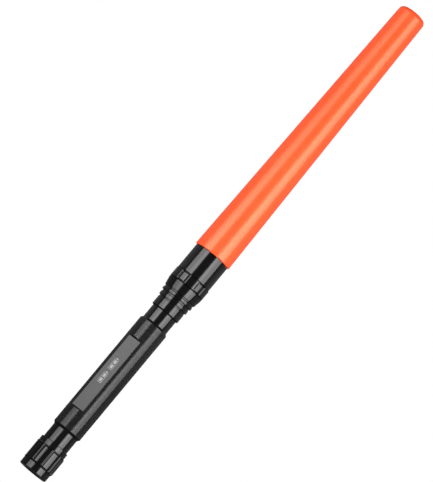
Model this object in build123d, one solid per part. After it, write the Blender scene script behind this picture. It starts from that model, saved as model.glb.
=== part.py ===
from build123d import *
import os
from math import atan2, cos, degrees, radians, sin, sqrt

# Traffic baton light: a two-cell aluminium torch with a push-fit orange signalling wand.
# Millimetres. +Z runs along the baton from the tail to the tip of the wand, and the origin is the
# centre of the tail cap's flat end face. The flat along the side of the handle faces -Y.

# ---- driving dimensions ----
TORCH_L = 217.5  # tail face to the front rim of the head
BATON_L = 466.0  # tail face to the tip of the wand
BODY_R = 12.7  # over the knurling of the one-inch handle
NECK_R = 11.25  # plain necks at both ends of the knurling
CELL_L, CELL_R = 69.0, 9.02  # a protected 18650 cell, without its wrap
WRAP_T = 0.13
CELL_BORE_R = 9.4

CAP_END_R, CAP_END_L = 12.5, 6.4
GRIP_R, GRIP_END_Z = 13.4, 22.2
CAP_COLLAR_R, SEAM_Z = 12.45, 27.3
CAP_MOUTH_Z = SEAM_Z - 0.1
CAP_POCKETS, CAP_POCKET_DEG, CAP_POCKET_AT = 9, 31.0, -71.4
CAP_POCKET_FLOOR_R = 12.2

KNURL_Z0, KNURL_Z1 = 41.6, 146.2
NECK_CHAMFER_L = 1.8
FLAT_Z0, FLAT_Z1, FLAT_Y = 59.8, 128.8, -11.3

HEAD_Z = 185.7  # seam between the body's flared end and the head
HEAD_RING_R, HEAD_RING_END_Z = 16.1, 194.1
BEZEL_R = 15.25
HEAD_POCKETS, HEAD_POCKET_DEG, HEAD_POCKET_AT = 6, 25.0, -88.2

THREAD_GAP = 0.05  # radial running clearance of a thread, drawn as a plain cylinder
REAR_THREAD_R, REAR_BORE_R = 10.7, 10.75
FRONT_THREAD_R, FRONT_BORE_R = 14.25, 14.3

REAR_CELL_Z = 35.0
FRONT_CELL_Z = REAR_CELL_Z + CELL_L
CELLS_END_Z = FRONT_CELL_Z + CELL_L

SPIGOT_R, SPIGOT_BORE_R = 14.3, 12.8
SPIGOT_Z = 211.9
WAND_Z = TORCH_L + 0.05
WAND_MOUTH_R, WAND_TIP_R = 16.35, 11.75
WAND_WALL = 1.8
WAND_TIP_ROUND = 4.2


def turned(*points):
    """A solid of revolution about Z from its closed outline of (radius, z) points."""
    outline = Polyline(*[(r, 0, z) for r, z in points], close=True)
    return revolve(make_face(outline), Axis.Z)


def ring(outer, inner, z0, z1):
    """A plain ring, or a disc where the inner radius is 0."""
    return turned((inner, z0), (outer, z0), (outer, z1), (inner, z1))


def bevelled_ring(outer, inner, z0, z1, bevel):
    return turned(
        (inner, z0),
        (outer - bevel, z0),
        (outer, z0 + bevel),
        (outer, z1 - bevel),
        (outer - bevel, z1),
        (inner, z1),
    )


def o_ring(centre_r, section_r, z):
    return Pos(0, 0, z) * Torus(centre_r, section_r)


def pockets(body, count, width_deg, start_deg, floor_r, z0, z1):
    """Cut a row of shallow grip pockets, each with its floor concentric with the body."""
    for k in range(count):
        centre = start_deg + 360 / count * k
        body -= pocket_cutter(floor_r, z0, z1, centre, width_deg)
    return body


def pocket_cutter(floor_r, z0, z1, centre_deg, width_deg):
    reach = floor_r + 6
    half = radians(width_deg / 2)
    corners = [(0, 0), (reach, -half), (reach * 1.1, 0), (reach, half)]
    points = [(r * cos(a), r * sin(a)) for r, a in corners]
    wedge = extrude(make_face(Polyline(*points, close=True)), z1 - z0)
    wedge -= Cylinder(floor_r, 3 * (z1 - z0))
    return Pos(0, 0, z0) * Rot(0, 0, centre_deg) * wedge


def coil(wire_r, start_r, end_r, z0, z1, turns):
    """A compression spring, straight or conical, between two planes."""
    height = z1 - z0 - 2 * wire_r
    cone = degrees(atan2(end_r - start_r, height))
    path = Pos(0, 0, z0 + wire_r) * Helix(height / turns, height, start_r, cone_angle=cone)
    section = Plane(path @ 0, z_dir=path % 0) * Circle(wire_r)
    return sweep(section, path, is_frenet=True)


# ---- tail cap and its switch ----
def tail_cap():
    cap = turned(
        (7.0, 0),
        (CAP_END_R - 0.5, 0),
        (CAP_END_R, 0.5),
        (CAP_END_R, CAP_END_L),
        (GRIP_R, CAP_END_L + 0.9),
        (GRIP_R, GRIP_END_Z - 0.9),
        (CAP_COLLAR_R, GRIP_END_Z),
        (CAP_COLLAR_R, CAP_MOUTH_Z - 0.3),
        (CAP_COLLAR_R - 0.3, CAP_MOUTH_Z),
        (REAR_BORE_R, CAP_MOUTH_Z),
        (REAR_BORE_R, 18.5),
        (9.6, 18.5),
        (9.6, 3.2),
        (7.0, 3.2),
    )
    z0, z1 = CAP_END_L + 1.2, GRIP_END_Z - 1.2
    return pockets(cap, CAP_POCKETS, CAP_POCKET_DEG, CAP_POCKET_AT, CAP_POCKET_FLOOR_R, z0, z1)


def boot():
    """The rubber button cover: a flange inside the cap and a dome just below its end face."""
    outline = [(0, 1.0), (3.4, 1.0), (5.4, 1.5), (6.5, 2.6), (6.6, 3.3), (8.9, 3.3), (8.9, 4.4)]
    outline += [(5.7, 4.4), (5.7, 3.2), (4.9, 2.4), (3.2, 2.0), (0, 2.0)]
    return turned(*outline)


def boot_washer():
    return ring(9.2, 6.6, 4.5, 5.2)


def switch_spacer():
    return bevelled_ring(9.3, 6.5, 5.3, 13.4, 0.3)


def switch_case():
    """The square body of the click switch, hollow around its plunger and spring."""
    case = Pos(0, 0, 10.0) * Box(8.8, 8.8, 6.8)
    case -= ring(3.4, 0, 7.6, 12.9)
    return case - ring(2.55, 0, 6.0, 8.0)


def switch_plunger():
    return turned((0, 2.3), (2.2, 2.3), (2.5, 2.6), (2.5, 7.8), (3.3, 7.8), (3.3, 9.0), (0, 9.0))


def switch_spring():
    return coil(0.2, 2.4, 2.4, 9.1, 12.8, 5)


def switch_board():
    return ring(9.1, 0, 13.5, 14.7)


def switch_retainer():
    """The brass ring that screws in behind the switch board, with two spanner notches."""
    body = ring(9.5, 7.1, 14.8, 17.2)
    return body - Pos(0, 0, 17.0) * Box(30, 1.6, 1.4)


def tail_spring():
    return coil(0.5, 6.3, 4.2, 14.75, 34.9, 6)


# ---- body tube ----
def body_tube():
    flare_z, flare_r = 177.9, 14.4
    tube = turned(
        (CELL_BORE_R, 19.0),
        (REAR_THREAD_R - 0.4, 19.0),
        (REAR_THREAD_R, 19.4),
        (REAR_THREAD_R, 24.2),
        (9.95, 24.2),
        (9.95, 26.0),
        (REAR_THREAD_R, 26.0),
        (REAR_THREAD_R, SEAM_Z),
        (NECK_R, SEAM_Z),
        (NECK_R, KNURL_Z0 - NECK_CHAMFER_L),
        (BODY_R, KNURL_Z0),
        (BODY_R, KNURL_Z1),
        (NECK_R, KNURL_Z1 + NECK_CHAMFER_L),
        (NECK_R, 159.6),
        (11.7, 159.6),
        (12.5, 160.7),
        (12.5, 168.0),
        (12.1, 168.3),
        (12.1, 169.1),
        (12.7, 169.1),
        (13.1, 169.5),
        (13.1, 172.4),
        (12.7, 172.8),
        (12.6, 173.7),
        (13.4, 173.7),
        (14.0, 174.3),
        (14.0, 176.3),
        (13.5, 176.8),
        (13.4, 177.6),
        (14.0, 177.6),
        (flare_r, flare_z),
        (15.9, HEAD_Z - 0.3),
        (15.6, HEAD_Z - 0.1),
        (FRONT_THREAD_R, HEAD_Z - 0.1),
        (FRONT_THREAD_R, 187.2),
        (13.35, 187.2),
        (13.35, 188.8),
        (FRONT_THREAD_R, 188.8),
        (FRONT_THREAD_R, 195.6),
        (FRONT_THREAD_R - 0.4, 196.0),
        (13.3, 196.0),
        (13.3, 190.9),
        (11.6, 189.2),
        (11.6, 176.5),
        (CELL_BORE_R, 176.5),
    )
    return tube - flat_cutter()


def flat_cutter():
    """What the flat takes out of the tube, with both of its ends run out at 45 degrees."""
    reach = 3.0
    corners = [
        (0, FLAT_Y, FLAT_Z0),
        (0, FLAT_Y, FLAT_Z1),
        (0, FLAT_Y - reach, FLAT_Z1 + reach),
        (0, FLAT_Y - reach, FLAT_Z0 - reach),
    ]
    return extrude(make_face(Polyline(*corners, close=True)), 15, both=True)


# ---- cells ----
def cell(z):
    """A cell with its raised positive button towards the head and a crimp groove below it."""
    top = z + CELL_L
    return turned(
        (0, z + 0.2),
        (CELL_R - 0.6, z + 0.2),
        (CELL_R, z + 0.8),
        (CELL_R, top - 5.5),
        (CELL_R - 0.7, top - 4.9),
        (CELL_R, top - 4.3),
        (CELL_R, top - 2.0),
        (CELL_R - 0.5, top - 1.5),
        (3.1, top - 1.5),
        (2.8, top - 0.1),
        (0, top - 0.1),
    )


def cell_wrap(z):
    """The printed-film sleeve, turned in over the rim at both ends."""
    inner = CELL_R + 0.02
    outer = inner + WRAP_T
    top = z + CELL_L
    return turned(
        (inner, z + 0.15),
        (outer, z + 0.15),
        (outer, top - 1.3),
        (CELL_R - 2.0, top - 1.3),
        (CELL_R - 2.0, top - 1.3 - WRAP_T),
        (inner, top - 1.3 - WRAP_T),
    )


# ---- light engine ----
def driver_spring():
    return coil(0.4, 2.6, 4.6, CELLS_END_Z, 178.15, 4)


def driver_board():
    return ring(8.7, 0, 178.2, 179.8)


def driver_components():
    """The inductor and two chips on the driver board, three separate parts."""
    inductor = Pos(0, 3.4, 181.35) * Box(5.0, 5.0, 2.9)
    chips = [Pos(x, -3.6, 180.5) * Box(3.2, 3.2, 1.2) for x in (-3.0, 3.0)]
    return Compound(children=[inductor, *chips])


def led_pill():
    """The hollow brass heat sink, with two holes in its deck for the leads."""
    pill = turned(
        (8.8, 178.0),
        (9.9, 178.0),
        (9.9, 184.8),
        (11.3, 184.8),
        (11.3, 186.8),
        (9.9, 186.8),
        (9.9, 190.9),
        (0, 190.9),
        (0, 188.6),
        (8.8, 188.6),
    )
    for x in (-6.2, 6.2):
        pill -= Pos(x, 0, 190) * Cylinder(0.9, 4)
    return pill


def pill_spring():
    return coil(0.5, 10.75, 10.75, 176.6, 184.7, 3)


def led_leads():
    wires = [Pos(x, 0, 185.35) * Cylinder(0.55, 10.9) for x in (-6.2, 6.2)]
    return Compound(children=wires)


def led_board():
    return ring(8.0, 0, 191.0, 192.5)


def led_emitter():
    """The square emitter with its clear dome."""
    base = Pos(0, 0, 192.95) * Box(5.0, 5.0, 0.8)
    dome = Pos(0, 0, 193.3) * Sphere(2.2)
    return base + (dome & Pos(0, 0, 195.35) * Box(6, 6, 4))


def led_gasket():
    """The insulating frame that centres the emitter under the reflector."""
    return ring(7.6, 3.75, 192.55, 193.0)


def reflector():
    """A parabolic bowl with a threaded foot that screws on to the pill."""
    throat_r, rim_r, throat_z, rim_z = 3.7, 12.4, 193.9, 207.0
    steps = 10
    bowl = []
    for k in range(steps + 1):
        rise = k / steps
        radius = sqrt(throat_r**2 + (rim_r**2 - throat_r**2) * rise)
        bowl.append((radius, throat_z + (rim_z - throat_z) * rise))
    outline = [(9.95, 187.0), (11.4, 187.0), (11.4, 190.4), (13.0, 194.6), (13.0, rim_z)]
    outline += bowl[::-1]
    outline += [(throat_r, 193.1), (8.2, 193.1), (8.2, 190.95), (9.95, 190.95)]
    return turned(*outline)


# ---- head ----
def head_shell():
    shell = turned(
        (FRONT_BORE_R, HEAD_Z),
        (HEAD_RING_R - 0.4, HEAD_Z),
        (HEAD_RING_R, HEAD_Z + 0.4),
        (HEAD_RING_R, HEAD_RING_END_Z - 1.4),
        (HEAD_RING_R - 0.2, HEAD_RING_END_Z - 0.6),
        (BEZEL_R, HEAD_RING_END_Z + 0.5),
        (BEZEL_R, TORCH_L - 0.2),
        (BEZEL_R - 0.2, TORCH_L),
        (SPIGOT_R + THREAD_GAP, TORCH_L),
        (SPIGOT_R + THREAD_GAP, 211.6),
        (12.4, 211.6),
        (12.4, 210.5),
        (13.75, 210.5),
        (13.75, 196.5),
        (FRONT_BORE_R, 196.5),
    )
    z0, z1 = HEAD_Z + 1.0, HEAD_RING_END_Z - 0.9
    return pockets(shell, HEAD_POCKETS, HEAD_POCKET_DEG, HEAD_POCKET_AT, BEZEL_R, z0, z1)


def lens():
    return bevelled_ring(13.65, 0, 207.2, 209.2, 0.2)


# ---- wand ----
def wand_outer():
    """The outside of the wand, from its spigot to the middle of its tip."""
    rim = 0.8
    side_end = (wand_radius(BATON_L - WAND_TIP_ROUND), 0, BATON_L - WAND_TIP_ROUND)
    flat_end = (side_end[0] - WAND_TIP_ROUND, 0, BATON_L)
    lower = Polyline(
        (SPIGOT_BORE_R, 0, SPIGOT_Z),
        (SPIGOT_R - 0.3, 0, SPIGOT_Z),
        (SPIGOT_R, 0, SPIGOT_Z + 0.3),
        (SPIGOT_R, 0, WAND_Z),
        (WAND_MOUTH_R - rim, 0, WAND_Z),
    )
    mouth = quarter((WAND_MOUTH_R - rim, 0, WAND_Z), (WAND_MOUTH_R, 0, WAND_Z + rim), rim, -1)
    side = Line((WAND_MOUTH_R, 0, WAND_Z + rim), side_end)
    corner = quarter(side_end, flat_end, WAND_TIP_ROUND)
    return [lower, mouth, side, corner, Line(flat_end, (0, 0, BATON_L))]


def wand_inner():
    """The inside of the wand, from the middle of its tip back to the spigot's end."""
    top = BATON_L - WAND_WALL
    round_r = WAND_TIP_ROUND - WAND_WALL
    side_end = (wand_radius(top - round_r) - WAND_WALL, 0, top - round_r)
    flat_end = (side_end[0] - round_r, 0, top)
    lower = Polyline(
        side_end,
        (WAND_MOUTH_R - WAND_WALL, 0, WAND_Z + WAND_WALL),
        (SPIGOT_BORE_R, 0, WAND_Z),
        (SPIGOT_BORE_R, 0, SPIGOT_Z),
    )
    middle = Polyline((0, 0, BATON_L), (0, 0, top), flat_end)
    return [middle, quarter(flat_end, side_end, round_r), lower]


def wand_radius(z):
    """The outer radius of the wand's taper at a height."""
    return WAND_MOUTH_R + (WAND_TIP_R - WAND_MOUTH_R) * (z - WAND_Z) / (BATON_L - WAND_Z)


def quarter(start, end, radius, up=1):
    """A quarter round in the XZ plane that bulges outwards, up towards +Z or down."""
    outer = max(start[0], end[0])
    level = min(start[2], end[2]) if up > 0 else max(start[2], end[2])
    bulge = radius * cos(radians(45))
    middle = (outer - radius + bulge, 0, level + up * bulge)
    return ThreePointArc(start, middle, end)


def wand_cone():
    """The hollow diffuser: a tapered shell closed at the tip, with a spigot at its mouth."""
    return revolve(make_face(wand_outer() + wand_inner()), Axis.Z)


NODES = {
    "tail_cap": tail_cap,
    "boot": boot,
    "boot_washer": boot_washer,
    "switch_spacer": switch_spacer,
    "switch_case": switch_case,
    "switch_plunger": switch_plunger,
    "switch_spring": switch_spring,
    "switch_board": switch_board,
    "switch_retainer": switch_retainer,
    "tail_spring": tail_spring,
    "tail_o_ring": lambda: o_ring(10.33, 0.36, 25.1),
    "body_tube": body_tube,
    "rear_cell": lambda: cell(REAR_CELL_Z),
    "rear_cell_wrap": lambda: cell_wrap(REAR_CELL_Z),
    "front_cell": lambda: cell(FRONT_CELL_Z),
    "front_cell_wrap": lambda: cell_wrap(FRONT_CELL_Z),
    "driver_spring": driver_spring,
    "driver_board": driver_board,
    "driver_components": driver_components,
    "led_pill": led_pill,
    "pill_spring": pill_spring,
    "led_leads": led_leads,
    "led_board": led_board,
    "led_gasket": led_gasket,
    "led_emitter": led_emitter,
    "reflector": reflector,
    "head_o_ring": lambda: o_ring(13.82, 0.42, 188.0),
    "head_shell": head_shell,
    "lens": lens,
    "lens_o_ring": lambda: o_ring(13.05, 0.6, 209.85),
    "wand_cone": wand_cone,
}

os.makedirs("parts", exist_ok=True)
for node, make in NODES.items():
    export_step(make(), f"parts/{node}.step")
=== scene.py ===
from math import cos, pi, radians, sin, tan

import bpy
from mathutils import Matrix, Vector

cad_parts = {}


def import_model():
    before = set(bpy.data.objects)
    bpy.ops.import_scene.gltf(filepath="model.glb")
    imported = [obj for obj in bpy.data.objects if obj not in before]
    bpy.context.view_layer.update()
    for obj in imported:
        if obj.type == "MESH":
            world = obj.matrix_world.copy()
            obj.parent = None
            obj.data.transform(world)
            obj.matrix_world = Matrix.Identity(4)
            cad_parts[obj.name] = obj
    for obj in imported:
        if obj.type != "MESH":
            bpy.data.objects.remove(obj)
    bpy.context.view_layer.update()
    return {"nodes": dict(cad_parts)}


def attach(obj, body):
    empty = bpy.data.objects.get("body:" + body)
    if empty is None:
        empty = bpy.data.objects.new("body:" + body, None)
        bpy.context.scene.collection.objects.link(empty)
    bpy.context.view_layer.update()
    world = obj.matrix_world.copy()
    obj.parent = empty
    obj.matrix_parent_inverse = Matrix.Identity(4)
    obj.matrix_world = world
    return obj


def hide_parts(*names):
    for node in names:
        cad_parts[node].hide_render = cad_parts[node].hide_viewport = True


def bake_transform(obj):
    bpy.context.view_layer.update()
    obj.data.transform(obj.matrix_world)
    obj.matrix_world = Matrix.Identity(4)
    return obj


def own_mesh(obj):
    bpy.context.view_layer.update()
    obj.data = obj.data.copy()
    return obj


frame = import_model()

# A traffic baton light: a knurled two-cell torch with an orange wand plugged into its head.
# Outlines are millimetres, and a mesh is made in metres. +Z runs along the baton from the tail cap
# to the wand's tip, and the flat on the handle faces -Y.
MM = 0.001


# ---- sizes shared with the CAD model ----
SEAM_Z, HEAD_Z, TORCH_L, BATON_L = 27.3, 185.7, 217.5, 466.0
REAR_THREAD_R, FRONT_THREAD_R = 10.7, 14.25
NECK_R, BODY_R, CELL_BORE_R = 11.25, 12.7, 9.4
KNURL_Z0, KNURL_Z1 = 41.6, 146.2
FLAT_Z0, FLAT_Z1, FLAT_Y = 59.8, 128.8, -11.3
WAND_MOUTH_R, WAND_TIP_R, WAND_WALL, WAND_ROUND = 16.35, 11.75, 1.8, 4.2
WAND_Z, SPIGOT_Z, SPIGOT_R, SPIGOT_BORE_R = 217.55, 211.9, 14.3, 12.8

# ---- sizes of the finer detail ----
TURNS = 132  # columns round a turned piece, twice the number of knurls round the handle
KNURL_ROWS = 86
KNURL_DEPTH, KNURL_TOP = 0.2, 0.78  # the top is a share of the way from a crest to a groove
THREAD_PITCH, THREAD_DEPTH, THREAD_ROW = 1.0, 0.45, 0.125
MARK_Z, MARK_DEPTH = 96.5, 0.06
CLOSE = 0.01  # places nearer to each other than this count as the same
TINY = 1e-6  # allowed for rounding, so a smaller radius is on the axis
# A pocket's wall, from the rounded rib beside it down to the small groove round its floor: the
# distance into the pocket, and the share of the floor's depth there, over 1 in the groove.
POCKET_WALL = (
    (-0.9, 0),
    (-0.6, 0.03),
    (-0.3, 0.1),
    (-0.08, 0.2),
    (0.06, 0.36),
    (0.17, 1.05),
    (0.4, 1.3),
    (0.54, 1.3),
    (1.12, 1),
)
END_WALL = 0.6  # the width of a pocket's end walls as a share of that of its side walls


# ---- outlines ----
def softened(points, size=0.15, steps=3, ends=True):
    """The outline with each corner turned into a small round, but the end points kept if not ends."""
    straight, most = radians(172), 0.4  # no round at a wider angle, or past this share of a side
    soft = []
    count = len(points)
    for k, here in enumerate(points):
        corner = Vector(here)
        back = Vector(points[k - 1]) - corner
        ahead = Vector(points[(k + 1) % count]) - corner
        free_end = not ends and k in (0, count - 1)
        if free_end or back.angle(ahead, pi) > straight:
            soft.append(tuple(here))
            continue
        reach = min(size, back.length * most, ahead.length * most)
        first, last = corner + back.normalized() * reach, corner + ahead.normalized() * reach
        for s in range(steps + 1):
            t = s / steps
            point = first * (1 - t) ** 2 + corner * 2 * t * (1 - t) + last * t**2
            soft.append((point.x, point.y))
    return soft


def with_rows(points, z0, z1, step):
    """The outline with rows at most a step apart along its upward stretches inside a range of z."""
    rows = []
    for (r_a, z_a), (r_b, z_b) in zip(points, points[1:] + points[:1]):
        rows.append((r_a, z_a))
        inside = z0 - TINY <= z_a < z_b <= z1 + TINY
        parts = int((z_b - z_a) / step) + 1 if inside else 1
        for k in range(1, parts):
            rows.append((r_a + (r_b - r_a) * k / parts, z_a + (z_b - z_a) * k / parts))
    return rows


def arc(centre, radius, start, end, steps=6):
    """Points of an arc in the outline's plane, between two angles in degrees."""
    angles = [radians(start + (end - start) * k / steps) for k in range(steps + 1)]
    return [(centre[0] + radius * cos(a), centre[1] + radius * sin(a)) for a in angles]


# ---- meshes ----
def even_columns(count=TURNS):
    """The angles of evenly spaced columns."""
    return [2 * pi * k / count for k in range(count)]


def turned(rows, columns, radius=None, gap=None):
    """Points, faces and each row's first point, of an outline turned about Z. The outline runs up the
    outside and down the inside. A row on the axis is one point. radius(r, z, angle) reshapes a row,
    and the stretch after row gap is left open."""
    points, starts = [], []
    for r, z in rows:
        starts.append(len(points))
        if r < TINY:
            points.append((0, 0, z))
            continue
        for a in columns:
            reach = radius(r, z, a) if radius else r
            points.append((reach * cos(a), reach * sin(a), z))
    faces = []
    loop = rows[0][0] > TINY
    for k in range(len(rows) if loop else len(rows) - 1):
        if k != gap:
            after = (k + 1) % len(rows)
            ends = rows[k][0] < TINY, rows[after][0] < TINY
            faces += band(starts[k], starts[after], len(columns), *ends)
    return points, faces, starts


def band(low, high, count, low_is_point=False, high_is_point=False):
    """The faces between two rings of points, or between a ring and a point."""
    faces = []
    for i in range(count):
        j = (i + 1) % count
        if low_is_point:
            faces.append((low, high + j, high + i))
        elif high_is_point:
            faces.append((low + i, low + j, high))
        else:
            faces.append((low + i, low + j, high + j, high + i))
    return faces


def build(name, points, faces, body=None, slot=None, *nodes):
    """A mesh from points in millimetres. With a body, it rides on it and stands for CAD nodes."""
    mesh = bpy.data.meshes.new(name)
    mesh.from_pydata([tuple(c * MM for c in p) for p in points], [], faces)
    mesh.update()
    piece = bpy.data.objects.new(name, mesh)
    bpy.context.scene.collection.objects.link(piece)
    smooth(piece)
    if body:
        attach(piece, body)
        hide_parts(*nodes)
    return piece


def smooth(piece, sharp=35):
    """Smooth shading apart from edges sharper than an angle in degrees, with the large faces kept
    flat beside small rounds."""
    piece.data.shade_smooth()
    piece.data.set_sharp_from_angle(angle=radians(sharp))
    weighted = piece.modifiers.new("weighted normals", "WEIGHTED_NORMAL")
    weighted.keep_sharp = True


def prism(name, section, x0, x1):
    """A closed prism along X from its section, whose (y, z) corners run anticlockwise seen from +X."""
    count = len(section)
    points = [(x, y, z) for x in (x0, x1) for y, z in section]
    faces = [tuple(range(count))[::-1], tuple(range(count, 2 * count))]
    for k in range(count):
        after = (k + 1) % count
        faces.append((k, after, count + after, count + k))
    return build(name, points, faces)


def boxes(name, extents):
    """Plain boxes, none touching another, as one mesh for cutting with."""
    points, faces = [], []
    sides = ((0, 1, 3, 2), (4, 6, 7, 5), (0, 4, 5, 1), (2, 3, 7, 6), (0, 2, 6, 4), (1, 5, 7, 3))
    for low, high in extents:
        start = len(points)
        spans = list(zip(low, high))
        points += [(x, y, z) for x in spans[0] for y in spans[1] for z in spans[2]]
        faces += [tuple(start + i for i in side) for side in sides]
    return build(name, points, faces)


def cut(piece, cutter):
    """Takes a closed cutter out of a closed piece for good, and removes the cutter."""
    piece.modifiers.clear()
    cutter.modifiers.clear()
    tool = piece.modifiers.new("cut", "BOOLEAN")
    tool.operation, tool.solver, tool.object = "DIFFERENCE", "MANIFOLD", cutter
    shaped = piece.evaluated_get(bpy.context.evaluated_depsgraph_get())
    mesh = bpy.data.meshes.new_from_object(shaped)
    piece.modifiers.clear()
    piece.data = mesh
    bpy.data.objects.remove(cutter)


# ---- pockets ----
def wall_share(inside):
    """The share of a pocket's depth at a distance inside its wall."""
    if inside <= POCKET_WALL[0][0]:
        return 0
    for (s_a, f_a), (s_b, f_b) in zip(POCKET_WALL, POCKET_WALL[1:]):
        if inside <= s_b:
            return f_a + (f_b - f_a) * (inside - s_a) / (s_b - s_a)
    return 1


def pocketed(outline, count, width_deg, start_deg, outer_r, floor_r, z0, z1):
    """Turns an outline with a ring of pockets sunk into its outer wall between two heights. The first
    pocket's middle is at start_deg."""
    rib_end = 1.0  # how far past the pockets' ends their walls can reach
    middles = [radians(start_deg + 360 / count * k) for k in range(count)]
    half = radians(width_deg / 2)
    columns = []
    for middle in middles:
        for s, _ in POCKET_WALL:
            columns += [middle - half + s / outer_r, middle + half - s / outer_r]
    columns = filled(sorted(a % (2 * pi) for a in columns), radians(3))

    def radius(r, z, a):
        if r < floor_r or not z0 - rib_end < z < z1 + rib_end:
            return r
        aside = min(abs((a - m + pi) % (2 * pi) - pi) for m in middles)
        inside = min((half - aside) * outer_r, (z - z0) / END_WALL, (z1 - z) / END_WALL)
        return r - wall_share(inside) * (r - floor_r)

    return turned(outline, columns, radius)


def filled(angles, widest):
    """The angles round a circle, with more between them where a gap is wider than that."""
    full = []
    for here, after in zip(angles, angles[1:] + [angles[0] + 2 * pi]):
        parts = int((after - here) / widest) + 1
        full += [here + (after - here) * k / parts for k in range(parts)]
    return full


def pocket_rows(r, low, high, z0, z1):
    """Rows of an outer wall from low to high that carries pockets between two heights."""
    spans, apart = 6, 0.02  # stretches along a pocket, and the least distance from low and high
    ends = [s * END_WALL for s, _ in POCKET_WALL]
    heights = [z0 + s for s in ends] + [z1 - s for s in ends]
    heights += [z0 + (z1 - z0) * k / spans for k in range(1, spans)]
    return [(r, z) for z in sorted(heights) if low + apart < z < high - apart]


# ---- threads and knurling ----
def thread_cut(z, angle, z0, z1):
    """How deep a one-start thread is at a point between two heights, fading out at its ends."""
    slope, root = 3.2, 0.3  # the flanks' slope, and how far they are sunk to leave a flat root
    phase = (z / THREAD_PITCH - angle / (2 * pi)) % 1
    flank = min(max(abs(phase - 0.5) * slope - root, 0), 1)
    fade = min(max((z - z0) / THREAD_PITCH, 0), max((z1 - z) / THREAD_PITCH, 0), 1)
    return THREAD_DEPTH * (1 - flank) * fade


def knurl(ring_low, ring_high, first):
    """Diamond knurling between two rings of points at groove depth. first is the next point's index.
    Grooves cross where column and row add up to an even number, and a crest stands at each other
    place, with its top cut flat."""
    crest_r, groove_r, steps = BODY_R, BODY_R - KNURL_DEPTH, 2 * KNURL_ROWS
    sides = ((1, 0), (0, 1), (-1, 0), (0, -1))
    points, faces, crossing = [], [], {}

    def place(column, row, r):
        angle = 2 * pi * column / TURNS
        z = KNURL_Z0 + (KNURL_Z1 - KNURL_Z0) * row / steps
        points.append((r * cos(angle), r * sin(angle), z))
        return first + len(points) - 1

    for row in range(1, steps):
        for column in range(row % 2, TURNS, 2):
            crossing[column, row] = place(column, row, groove_r)
    for column in range(TURNS):
        crossing[column, 0] = ring_low + column
        crossing[column, steps] = ring_high + column
    for row in range(1, steps):
        for column in range((row + 1) % 2, TURNS, 2):
            foot = [crossing[(column + c) % TURNS, row + r] for c, r in sides]
            top = [place(column + KNURL_TOP * c, row + KNURL_TOP * r, crest_r) for c, r in sides]
            faces.append(tuple(top))
            for k in range(4):
                j = (k + 1) % 4
                faces.append((foot[k], foot[j], top[j], top[k]))
    for column in range(1, TURNS, 2):
        for row, edge in ((1, 0), (steps - 1, steps)):
            tip = crossing[column, row]
            left, here, right = (crossing[(column + c) % TURNS, edge] for c in (-1, 0, 1))
            pair = [(left, here, tip), (here, right, tip)]
            faces += pair if edge == 0 else [face[::-1] for face in pair]
    return points, faces


# ---- pieces ----
def handle_tube():
    """The body tube, with its threads, knurling, cooling rings and the milled flat. Its outline is
    open where the knurling goes."""
    groove_r = BODY_R - KNURL_DEPTH
    knurl_slope, flat_slope, past_side = 1.8, 3, 20
    rear_thread, front_thread = (19.6, 24.0), (189.2, 195.4)
    below = [
        (CELL_BORE_R, 19.0),
        (REAR_THREAD_R - 0.4, 19.0),
        (REAR_THREAD_R, 19.4),
        (REAR_THREAD_R, 24.2),
        (9.95, 24.2),
        (9.95, 26.0),
        (REAR_THREAD_R, 26.0),
        (REAR_THREAD_R, SEAM_Z),
        (NECK_R, SEAM_Z),
        (NECK_R, KNURL_Z0 - knurl_slope),
        (groove_r, KNURL_Z0),
    ]
    above = [
        (groove_r, KNURL_Z1),
        (NECK_R, KNURL_Z1 + knurl_slope),
        (NECK_R, 159.3),
        (12.0, 159.6),
        (12.5, 160.3),
        (12.5, 167.5),
        (12.25, 167.8),
        (12.2, 168.7),
        (12.8, 168.7),
        (13.3, 169.1),
        (13.3, 171.9),
        (12.95, 172.4),
        (12.9, 173.4),
        (13.6, 173.4),
        (14.1, 173.9),
        (14.1, 175.9),
        (13.65, 176.5),
        (13.6, 177.4),
        (14.1, 177.4),
        (14.4, 177.7),
        (15.75, HEAD_Z - 0.55),
        (15.3, HEAD_Z - 0.1),
        (FRONT_THREAD_R, HEAD_Z - 0.1),
        (FRONT_THREAD_R, 187.2),
        (13.35, 187.2),
        (13.35, 188.8),
        (FRONT_THREAD_R, 188.8),
        (FRONT_THREAD_R, 195.6),
        (FRONT_THREAD_R - 0.4, 196.0),
        (13.3, 196.0),
        (13.3, 190.9),
        (11.6, 189.2),
        (11.6, 176.5),
        (CELL_BORE_R, 176.5),
    ]
    rows = softened(below, ends=False) + softened(above, ends=False)
    for span in (rear_thread, front_thread):
        rows = with_rows(rows, span[0] - 1, span[1] + 1, THREAD_ROW)

    def radius(r, z, a):
        for r_full, (z0, z1) in ((REAR_THREAD_R, rear_thread), (FRONT_THREAD_R, front_thread)):
            if abs(r - r_full) < CLOSE and z0 < z < z1:
                return r - thread_cut(z, a, z0, z1)
        return r

    gap = rows.index((groove_r, KNURL_Z0))
    points, faces, starts = turned(rows, even_columns(), radius, gap)
    more_points, more_faces = knurl(starts[gap], starts[gap + 1], len(points))
    points, faces = points + more_points, faces + more_faces
    tube = build("handle_tube", points, faces, "handle", "black_anodised", "body_tube")
    section = [
        (FLAT_Y - flat_slope, FLAT_Z0 - flat_slope),
        (FLAT_Y, FLAT_Z0),
        (FLAT_Y, FLAT_Z1),
        (FLAT_Y - flat_slope, FLAT_Z1 + flat_slope),
    ]
    cut(tube, prism("flat_cutter", section, -past_side, past_side))
    cut(tube, battery_mark())
    smooth(tube)
    return tube


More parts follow.
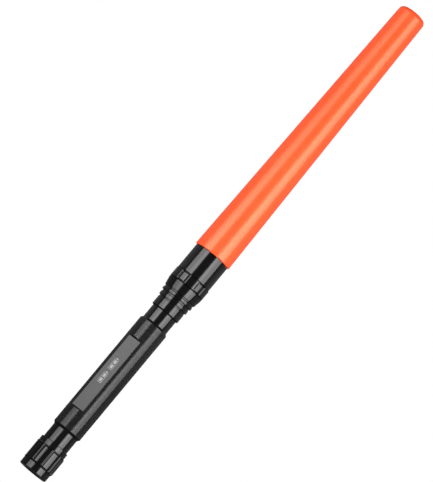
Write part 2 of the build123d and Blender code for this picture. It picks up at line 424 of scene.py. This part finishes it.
def battery_mark():
    """A cutter for the mark engraved on the flat: two battery signs with charge bars, plus end up."""
    length, half_width, line, apart, seam = 9.6, 2.0, 0.4, 13.0, 0.02
    cap_width, cap_height = 0.8, 0.9
    bars, bar, bar_gap, inset, rise = 2, 3.2, 1.0, 0.5, 0.7
    outside, bottom = FLAT_Y - 1, FLAT_Y + MARK_DEPTH
    extents = []
    for z0 in (MARK_Z - apart / 2 - length / 2, MARK_Z + apart / 2 - length / 2):
        z1 = z0 + length
        inner = half_width - line - seam
        strokes = [
            (-half_width, z0, line - half_width, z1),
            (half_width - line, z0, half_width, z1),
            (-inner, z0, inner, z0 + line),
            (-inner, z1 - line, inner, z1),
            (-cap_width, z1 + seam, cap_width, z1 + cap_height),
        ]
        for k in range(bars):
            bar_z = z0 + line + rise + k * (bar + bar_gap)
            strokes.append((inset - inner, bar_z, inner - inset, bar_z + bar))
        for x_a, z_a, x_b, z_b in strokes:
            extents.append(((x_a, outside, z_a), (x_b, bottom, z_b)))
    return boxes("mark_cutter", extents)


def tail_cap_shell():
    """The screw-off cap: a plain end, a pocketed grip with rounded ends, and a plain collar."""
    end_r, grip_r, floor_r, collar_r = 12.5, 13.4, 12.2, 12.45
    grip_z0, grip_z1, mouth_z = 6.4, 22.3, SEAM_Z - 0.1
    z0, z1 = grip_z0 + 0.55, grip_z1 - 0.55
    pockets, width_deg, start_deg = 9, 33.0, -74.0
    opening_r, web_z, bore_r, thread_r, thread_z = 7.0, 3.2, 9.6, 10.75, 18.5
    outline = [
        (opening_r, 0),
        (end_r - 0.5, 0),
        (end_r, 0.5),
        (end_r, grip_z0 - 0.4),
        (grip_r - 0.3, grip_z0 + 0.2),
        (grip_r, grip_z0 + 1.2),
        *pocket_rows(grip_r, grip_z0 + 1.2, grip_z1 - 1.2, z0, z1),
        (grip_r, grip_z1 - 1.2),
        (grip_r - 0.3, grip_z1 - 0.2),
        (collar_r, grip_z1 + 0.4),
        (collar_r, mouth_z - 0.3),
        (collar_r - 0.3, mouth_z),
        (thread_r, mouth_z),
        (thread_r, thread_z),
        (bore_r, thread_z),
        (bore_r, web_z),
        (opening_r, web_z),
    ]
    outline = softened(outline, 0.12)
    points, faces, _ = pocketed(outline, pockets, width_deg, start_deg, grip_r, floor_r, z0, z1)
    return build("tail_cap_shell", points, faces, "tail_cap", "black_anodised", "tail_cap")


def button_boot():
    """The rubber cover of the tail button, with a raised rim and a dished middle."""
    outline = [
        (0, 1.25),
        (2.6, 1.2),
        (3.4, 1.0),
        (4.4, 1.05),
        (5.5, 1.55),
        (6.35, 2.5),
        (6.6, 3.3),
        (8.9, 3.3),
        (8.9, 4.4),
        (5.7, 4.4),
        (5.7, 3.2),
        (4.9, 2.4),
        (3.2, 2.0),
        (0, 2.0),
    ]
    points, faces, _ = turned(softened(outline, 0.5, 5, ends=False), even_columns(96))
    boot = build("button_boot", points, faces)
    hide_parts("boot")
    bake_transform(boot)
    return boot


def click_spring():
    """The switch's coil spring, at one fixed length."""
    wire_r, coil_r, z0, z1, coils, sides, travel = 0.2, 2.4, 9.1, 12.8, 5, 8, 2.0
    steps = 24 * coils
    points, faces = [], []
    for k in range(steps + 1):
        angle = 2 * pi * coils * k / steps
        middle_z = z0 + wire_r + (z1 - z0 - 2 * wire_r) * k / steps
        for side in range(sides):
            round_wire = -2 * pi * side / sides
            r = coil_r + wire_r * cos(round_wire)
            points.append((r * cos(angle), r * sin(angle), middle_z + wire_r * sin(round_wire)))
    for k in range(steps):
        faces += band(k * sides, (k + 1) * sides, sides)
    faces.append(tuple(range(sides))[::-1])
    faces.append(tuple(range(steps * sides, (steps + 1) * sides)))
    spring = build("click_spring", points, faces, "tail_cap", "spring_steel", "switch_spring")
    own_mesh(spring)
    return spring


def head_bezel():
    """The screw-off head: a pocketed ring, a smooth bezel, the lens seat and the wand's socket."""
    ring_r, ring_end, bezel_r = 16.1, 194.1, 15.25
    z0, z1 = HEAD_Z + 0.6, ring_end - 0.45
    pockets, width_deg, start_deg = 6, 27.5, -89.5
    socket_r, lip_r, lens_r, thread_r = SPIGOT_R + 0.05, 12.4, 13.75, 14.3
    socket_z, lip_z, thread_z = 211.6, 210.5, 196.5
    outline = [
        (thread_r, HEAD_Z),
        (ring_r - 0.6, HEAD_Z),
        (ring_r, HEAD_Z + 0.4),
        *pocket_rows(ring_r, HEAD_Z + 0.4, ring_end - 0.2, z0, z1),
        (ring_r, ring_end - 0.2),
        (bezel_r - 0.3, ring_end + 0.35),
        (bezel_r, ring_end + 0.7),
        (bezel_r, TORCH_L - 0.2),
        (bezel_r - 0.2, TORCH_L),
        (socket_r, TORCH_L),
        (socket_r, socket_z),
        (lip_r, socket_z),
        (lip_r, lip_z),
        (lens_r, lip_z),
        (lens_r, thread_z),
        (thread_r, thread_z),
    ]
    outline = softened(outline, 0.12)
    points, faces, _ = pocketed(outline, pockets, width_deg, start_deg, ring_r, bezel_r, z0, z1)
    return build("head_bezel", points, faces, "head", "black_anodised", "head_shell")


def wand_radius(z):
    """The radius of the wand's tapered outside at a height."""
    return WAND_MOUTH_R + (WAND_TIP_R - WAND_MOUTH_R) * (z - WAND_Z) / (BATON_L - WAND_Z)


def wand_diffuser():
    """The tapered shell: inside from the tip down, round the spigot, and up the outside."""
    rim, inner_round, top = 0.8, WAND_ROUND - WAND_WALL, BATON_L - WAND_WALL
    mouth_step, end_flat, rows_up = 4, 3, 24
    outer_end = BATON_L - WAND_ROUND
    inner_end = top - inner_round
    inner_r = wand_radius(inner_end) - WAND_WALL
    outer_r = wand_radius(outer_end)
    spigot = [
        (WAND_MOUTH_R - WAND_WALL, WAND_Z + WAND_WALL),
        (SPIGOT_BORE_R, WAND_Z),
        (SPIGOT_BORE_R, SPIGOT_Z),
        (SPIGOT_R - 0.3, SPIGOT_Z),
        (SPIGOT_R, SPIGOT_Z + 0.3),
        (SPIGOT_R, WAND_Z),
    ]
    side = [(wand_radius(z), z) for z in stepped(WAND_Z + rim, outer_end, rows_up)]
    inside = [
        (wand_radius(z) - WAND_WALL, z) for z in stepped(inner_end, WAND_Z + mouth_step, rows_up)
    ]
    rows = [(0, top)]
    rows += arc((inner_r - inner_round, inner_end), inner_round, 90, 0)[:-1]
    rows += inside
    rows += softened(spigot, 0.15, ends=False)
    rows += arc((WAND_MOUTH_R - rim, WAND_Z + rim), rim, -90, 0)[:-1]
    rows += side
    rows += arc((outer_r - WAND_ROUND, outer_end), WAND_ROUND, 0, 90, 10)[1:]
    rows += [(outer_r - WAND_ROUND - end_flat, BATON_L), (0, BATON_L)]
    points, faces, _ = turned(rows, even_columns(128))
    return build("wand_diffuser", points, faces, "wand", "orange_plastic", "wand_cone")


def stepped(start, end, count):
    """Evenly spaced values from start to end, both included."""
    return [start + (end - start) * k / count for k in range(count + 1)]


# ---- materials ----
class Finish:
    """A node material on one Principled shader. put() adds a node and links or sets its inputs."""

    def __init__(self, name, **values):
        self.material = bpy.data.materials.new(name)
        self.material.use_nodes = True
        self.tree = self.material.node_tree
        self.shader = self.tree.nodes["Principled BSDF"]
        self.place = self.put("ShaderNodeTexCoord").outputs["Object"]
        self.set(**values)

    def put(self, kind, inputs=None, **settings):
        made = self.tree.nodes.new(kind)
        for key, value in settings.items():
            setattr(made, key, value)
        for key, value in (inputs or {}).items():
            if isinstance(value, bpy.types.NodeSocket):
                self.tree.links.new(value, made.inputs[key])
            else:
                made.inputs[key].default_value = value
        return made

    def set(self, **values):
        """Sets plain values on the shader, such as Roughness or IOR."""
        for key, value in values.items():
            self.shader.inputs[key.replace("_", " ")].default_value = value

    def link(self, output, key):
        """Links a node's output to an input of the shader."""
        self.tree.links.new(output, self.shader.inputs[key])

    def noise(self, scale, stretch=(1, 1, 1), detail=3.0, rough=0.55):
        """Noise with features about 1 / scale metres across, stretched by a factor along each axis."""
        spread = self.put("ShaderNodeMapping", {"Vector": self.place, "Scale": stretch})
        inputs = {"Vector": spread.outputs[0], "Scale": scale, "Detail": detail, "Roughness": rough}
        return self.put("ShaderNodeTexNoise", inputs).outputs["Fac"]

    def between(self, value, low, high, start=0.3, end=0.7):
        """A number that goes from low to high as value goes from start to end."""
        inputs = {"Value": value, "From Min": start, "From Max": end, "To Min": low, "To Max": high}
        return self.put("ShaderNodeMapRange", inputs).outputs["Result"]

    def colours(self, value, low, high, start=0.3, end=0.7):
        """A colour that goes from low to high as value goes from start to end."""
        ramp = self.put("ShaderNodeValToRGB", {"Fac": value})
        for stop, place, colour in zip(ramp.color_ramp.elements, (start, end), (low, high)):
            stop.position, stop.color = place, (*colour, 1)
        return ramp.outputs["Color"]

    def bumps(self, *layers):
        """Bump from (height, strength, distance in metres) layers, each on top of the one before."""
        normal = None
        for height, strength, distance in layers:
            inputs = {"Height": height, "Strength": strength, "Distance": distance}
            if normal is not None:
                inputs["Normal"] = normal
            normal = self.put("ShaderNodeBump", inputs).outputs["Normal"]
        self.link(normal, "Normal")


def anodised(name, low, high, rough, lines):
    """Hard black anodising over turned aluminium: faint cloudiness and fine turning lines."""
    finish = Finish(name, IOR=1.6)
    finish.link(finish.colours(finish.noise(90, detail=4.0), low, high), "Base Color")
    finish.link(finish.between(finish.noise(300, (1, 1, 3)), *rough), "Roughness")
    turning = finish.noise(60, (1, 1, 110), detail=2.0)
    finish.bumps((turning, lines, 0.00003), (finish.noise(7000, detail=1.0), 0.12, 0.00002))
    return finish.material


def etched(name):
    """Bare, lightly grained aluminium where a laser has taken the anodising off."""
    finish = Finish(name, Metallic=0.3)
    finish.link(finish.colours(finish.noise(4000), (0.28, 0.28, 0.29), (0.4, 0.4, 0.41)), "Base Color")
    finish.link(finish.between(finish.noise(2500), 0.5, 0.65), "Roughness")
    finish.bumps((finish.noise(9000), 0.2, 0.00002))
    return finish.material


def orange_plastic():
    """Smooth moulded translucent plastic, slightly cloudy, with a fine moulded texture."""
    finish = Finish("orange_plastic", IOR=1.55, Subsurface_Weight=0.12, Subsurface_Scale=0.004)
    finish.set(Subsurface_Radius=(1.0, 0.25, 0.08), Specular_Tint=(1.0, 0.95, 0.62, 1.0))
    finish.set(Specular_IOR_Level=0.82)
    cloud = finish.noise(28, (1, 1, 0.4), detail=5.0)
    finish.link(finish.colours(cloud, (0.88, 0.068, 0.012), (0.94, 0.078, 0.015)), "Base Color")
    finish.link(finish.between(finish.noise(120), 0.28, 0.34), "Roughness")
    finish.bumps((finish.noise(1500, detail=2.0), 0.05, 0.00005), (finish.noise(9000), 0.06, 0.00002))
    return finish.material


def grained(name, low, high, rough, scale=900, bump=0.2, **values):
    """A moulded, cast or plated surface with fine grain."""
    finish = Finish(name, **values)
    finish.link(finish.colours(finish.noise(scale * 0.2), low, high), "Base Color")
    finish.link(finish.between(finish.noise(scale * 0.5), *rough), "Roughness")
    finish.bumps((finish.noise(scale * 4), bump, 0.00004))
    return finish.material


def lens_glass():
    """Clear polished glass with a faint tint."""
    finish = Finish("lens_glass", Transmission_Weight=1.0, IOR=1.5)
    finish.link(finish.colours(finish.noise(40), (0.93, 0.97, 0.97), (0.97, 0.99, 1.0)), "Base Color")
    finish.link(finish.between(finish.noise(300), 0.0, 0.03), "Roughness")
    return finish.material


def circuit_board():
    """Green solder mask, with the copper under it showing through as lighter patches."""
    finish = Finish("circuit_board", IOR=1.5)
    inputs = {"Vector": finish.place, "Scale": 700.0}
    cells = finish.put("ShaderNodeTexVoronoi", inputs, distance="MANHATTAN").outputs["Distance"]
    finish.link(finish.colours(cells, (0.03, 0.2, 0.06), (0.01, 0.09, 0.03), 0.25, 0.3), "Base Color")
    finish.link(finish.between(finish.noise(500), 0.25, 0.4), "Roughness")
    finish.bumps((cells, 0.3, 0.00005))
    return finish.material


def paint(piece, *materials):
    """Gives a piece these materials and no others."""
    piece.data.materials.clear()
    for material in materials:
        piece.data.materials.append(material)


def paint_handle(tube, plain, knurl_painted_sheen, flat, mark):
    """Gives each face of the tube its finish from where it is."""
    paint(tube, plain, knurl_painted_sheen, flat, mark)
    inside_knurl_r = BODY_R - 2 * KNURL_DEPTH  # a little less than any knurled face's
    for face in tube.data.polygons:
        x, y, z = face.center / MM
        on_flat = FLAT_Z0 < z < FLAT_Z1 and abs(face.normal.y) > 0.99
        if on_flat and abs(y - FLAT_Y - MARK_DEPTH) < CLOSE:
            face.material_index = 3
        elif on_flat and abs(y - FLAT_Y) < CLOSE:
            face.material_index = 2
        # The knurled faces take a finish whose lighter base colour is painted sheen.
        elif KNURL_Z0 < z < KNURL_Z1 and x * x + y * y > inside_knurl_r**2:
            face.material_index = 1


def paint_inside(steel):
    """Finishes of the CAD nodes that stay as they are, inside the torch."""
    brass = grained("turned_brass", (0.62, 0.42, 0.14), (0.75, 0.53, 0.2), (0.22, 0.36), Metallic=1.0)
    nickel = grained("cell_can", (0.55, 0.55, 0.56), (0.68, 0.68, 0.7), (0.2, 0.32), Metallic=1.0)
    film = grained("cell_film", (0.06, 0.16, 0.36), (0.08, 0.2, 0.42), (0.3, 0.42), bump=0.1)
    nylon = grained("white_nylon", (0.72, 0.72, 0.68), (0.8, 0.8, 0.77), (0.4, 0.55))
    black = grained("black_plastic", (0.02, 0.02, 0.022), (0.035, 0.035, 0.038), (0.35, 0.5))
    red = grained("red_plastic", (0.5, 0.02, 0.015), (0.6, 0.035, 0.02), (0.3, 0.42))
    rubber = grained("seal_rubber", (0.012, 0.012, 0.012), (0.02, 0.02, 0.02), (0.4, 0.55))
    phosphor = grained("yellow_phosphor", (0.75, 0.62, 0.08), (0.85, 0.74, 0.14), (0.15, 0.25))
    white = grained("star_board", (0.75, 0.75, 0.75), (0.85, 0.85, 0.85), (0.3, 0.4))
    bright = (0.86, 0.86, 0.87), (0.92, 0.92, 0.92)
    mirror = grained("reflector_mirror", *bright, (0.03, 0.08), 200, 0.02, Metallic=1.0)
    finishes = {
        steel: ("driver_spring", "pill_spring", "tail_spring"),
        brass: ("led_pill", "switch_retainer"),
        nickel: ("rear_cell", "front_cell"),
        film: ("rear_cell_wrap", "front_cell_wrap"),
        nylon: ("boot_washer", "switch_spacer", "led_gasket"),
        black: ("switch_case", "driver_components"),
        red: ("switch_plunger", "led_leads"),
        rubber: ("head_o_ring", "tail_o_ring", "lens_o_ring"),
        phosphor: ("led_emitter",),
        white: ("led_board",),
        mirror: ("reflector",),
        circuit_board(): ("driver_board", "switch_board"),
        lens_glass(): ("lens",),
    }
    for material, nodes in finishes.items():
        for node in nodes:
            paint(frame["nodes"][node], material)


# ---- stage, light and camera ----
VIEW_AZIMUTH, VIEW_TILT = radians(27.1), radians(-7.5)
LEVEL = cos(VIEW_TILT)
# Towards the camera, and across and along the baton as the camera sees it
BACK = Vector((sin(VIEW_AZIMUTH) * LEVEL, -cos(VIEW_AZIMUTH) * LEVEL, sin(VIEW_TILT)))
ACROSS = Vector((cos(VIEW_AZIMUTH), sin(VIEW_AZIMUTH), 0))
ALONG = BACK.cross(ACROSS)


def camera():
    """A long lens from the tail end's side, turned so that the baton leans to the right."""
    lean, distance, frame_height = radians(39.8), 4.0, 0.3733
    aim_z, aim_left = 0.2290, 0.0049
    aim = Vector((0, 0, aim_z)) - aim_left * ACROSS
    right = cos(lean) * ACROSS + sin(lean) * ALONG
    up = -sin(lean) * ACROSS + cos(lean) * ALONG
    data = bpy.data.cameras.new("camera")
    data.sensor_width = 36.0
    data.lens = data.sensor_width * distance / frame_height
    data.clip_start, data.clip_end = 0.1, 100
    made = bpy.data.objects.new("camera", data)
    bpy.context.scene.collection.objects.link(made)
    made.matrix_world = Matrix((right, up, BACK)).transposed().to_4x4()
    made.location = aim + distance * BACK
    bpy.context.scene.camera = made


def panel(name, start, end, z0, z1, radiance, distance=0.55):
    """An upright soft light that faces the baton, between two angles in degrees to the right of the
    camera. Heights and distance are metres, and radiance is the brightness of its face."""
    angle = VIEW_AZIMUTH + radians((start + end) / 2)
    width, height = 2 * distance * tan(radians(end - start) / 2), z1 - z0
    data = bpy.data.lights.new(name, "AREA")
    data.shape = "RECTANGLE"
    data.size, data.size_y = width, height
    data.energy = radiance * pi * width * height
    made = bpy.data.objects.new(name, data)
    bpy.context.scene.collection.objects.link(made)
    away = Vector((sin(angle), -cos(angle), 0))
    side = Vector((cos(angle), sin(angle), 0))
    made.matrix_world = Matrix((side, Vector((0, 0, 1)), away)).transposed().to_4x4()
    made.location = away * distance + Vector((0, 0, (z0 + z1) / 2))
    made.visible_camera = False


def lights():
    """A softbox on each side, brighter towards the camera and split by height, a dim reflector wall
    past each, and one light behind for the far side."""
    heights = (0.0, 0.13, 0.36, 0.5, 0.85)
    parts = (("near", 26, 46, 1.0), ("far", 46, 70.5, 0.73))
    softboxes = (("right", 1, (4.9, 4.8, 3.9, 3.4)), ("left", -1, (3.3, 4.4, 1.8, 1.8)))
    wall, wall_low, wall_high, wall_distance = (85, 150), 0.2, 1.0, 0.8
    for name, side, radiances in softboxes:
        for k, radiance in enumerate(radiances):
            for part, near, far, share in parts:
                start, end = sorted((side * near, side * far))
                panel(f"{name}_{part}_{k}", start, end, heights[k], heights[k + 1], radiance * share)
        start, end = sorted(side * angle for angle in wall)
        low_radiance = 0.09 + side * 0.04
        panel(f"{name}_low_bounce", start, end, 0.0, wall_low, low_radiance, wall_distance)
        panel(f"{name}_bounce", start, end, wall_low, wall_high, 0.21, wall_distance)
    panel("back", 170, 190, 0.0, wall_high, 2.5, wall_distance)
    world()


def world():
    """White where the camera looks past the stage, and dimmer as a light and in reflections."""
    as_light, in_reflections, to_camera = 0.45, 0.06, 1.0
    made = bpy.data.worlds.new("studio")
    bpy.context.scene.world = made
    made.use_nodes = True
    tree = made.node_tree
    ground = tree.nodes["Background"]
    ray = tree.nodes.new("ShaderNodeLightPath")
    level = None
    for kind, strength in (("Is Glossy Ray", in_reflections), ("Is Camera Ray", to_camera)):
        pick = tree.nodes.new("ShaderNodeMapRange")
        tree.links.new(ray.outputs[kind], pick.inputs["Value"])
        pick.inputs["To Min"].default_value = as_light
        pick.inputs["To Max"].default_value = strength
        if level:
            tree.links.new(level, pick.inputs["To Min"])
        level = pick.outputs["Result"]
    tree.links.new(level, ground.inputs["Strength"])
    ground.inputs["Color"].default_value = (1, 1, 1, 1)


def floor():
    """A pale floor under the standing baton. It can't be seen from below, because the camera looks up
    a little, and it glows faintly so that its shadows stay pale."""
    half, z = 20000, -0.3
    points = [(-half, -half, z), (half, -half, z), (half, half, z), (-half, half, z)]
    plane = build("floor", points, [(0, 1, 2, 3)])
    finish = grained("floor_paint", (0.78, 0.78, 0.77), (0.82, 0.82, 0.81), (0.55, 0.7), 60, 0.05)
    finish.node_tree.nodes["Principled BSDF"].inputs["Emission Strength"].default_value = 0.3
    tree = finish.node_tree
    clear = tree.nodes.new("ShaderNodeBsdfTransparent")
    side = tree.nodes.new("ShaderNodeNewGeometry")
    mix = tree.nodes.new("ShaderNodeMixShader")
    tree.links.new(side.outputs["Backfacing"], mix.inputs[0])
    tree.links.new(tree.nodes["Principled BSDF"].outputs[0], mix.inputs[1])
    tree.links.new(clear.outputs[0], mix.inputs[2])
    tree.links.new(mix.outputs[0], tree.nodes["Material Output"].inputs["Surface"])
    paint(plane, finish)
    plane.visible_glossy = False


# ---- the object ----
camera()
lights()
floor()
bpy.context.scene.view_settings.view_transform = "Standard"

plain = anodised("black_anodised", (0.0018, 0.0018, 0.002), (0.003, 0.003, 0.0033), (0.11, 0.17), 0.12)
# The knurling's base colour is several times lighter than the plain anodising's. This is painted
# sheen, standing in for the light that the knurl's crests and flanks scatter.
knurl_painted_sheen = anodised("knurl_anodised_painted_sheen", (0.01, 0.01, 0.0105), (0.014, 0.014, 0.0145), (0.14, 0.2), 0.05)
flat = anodised("milled_flat", (0.005, 0.005, 0.0055), (0.008, 0.008, 0.0085), (0.22, 0.28), 0.2)
rubber = grained("black_rubber", (0.022, 0.022, 0.022), (0.034, 0.034, 0.034), (0.55, 0.7), 1200, 0.35)
steel = grained("spring_steel", (0.55, 0.53, 0.48), (0.7, 0.68, 0.62), (0.2, 0.35), Metallic=1.0)

paint_handle(handle_tube(), plain, knurl_painted_sheen, flat, etched("laser_mark"))
paint(tail_cap_shell(), plain)
paint(head_bezel(), plain)
paint(wand_diffuser(), orange_plastic())
paint(button_boot(), rubber)
paint(click_spring(), steel)
paint_inside(steel)
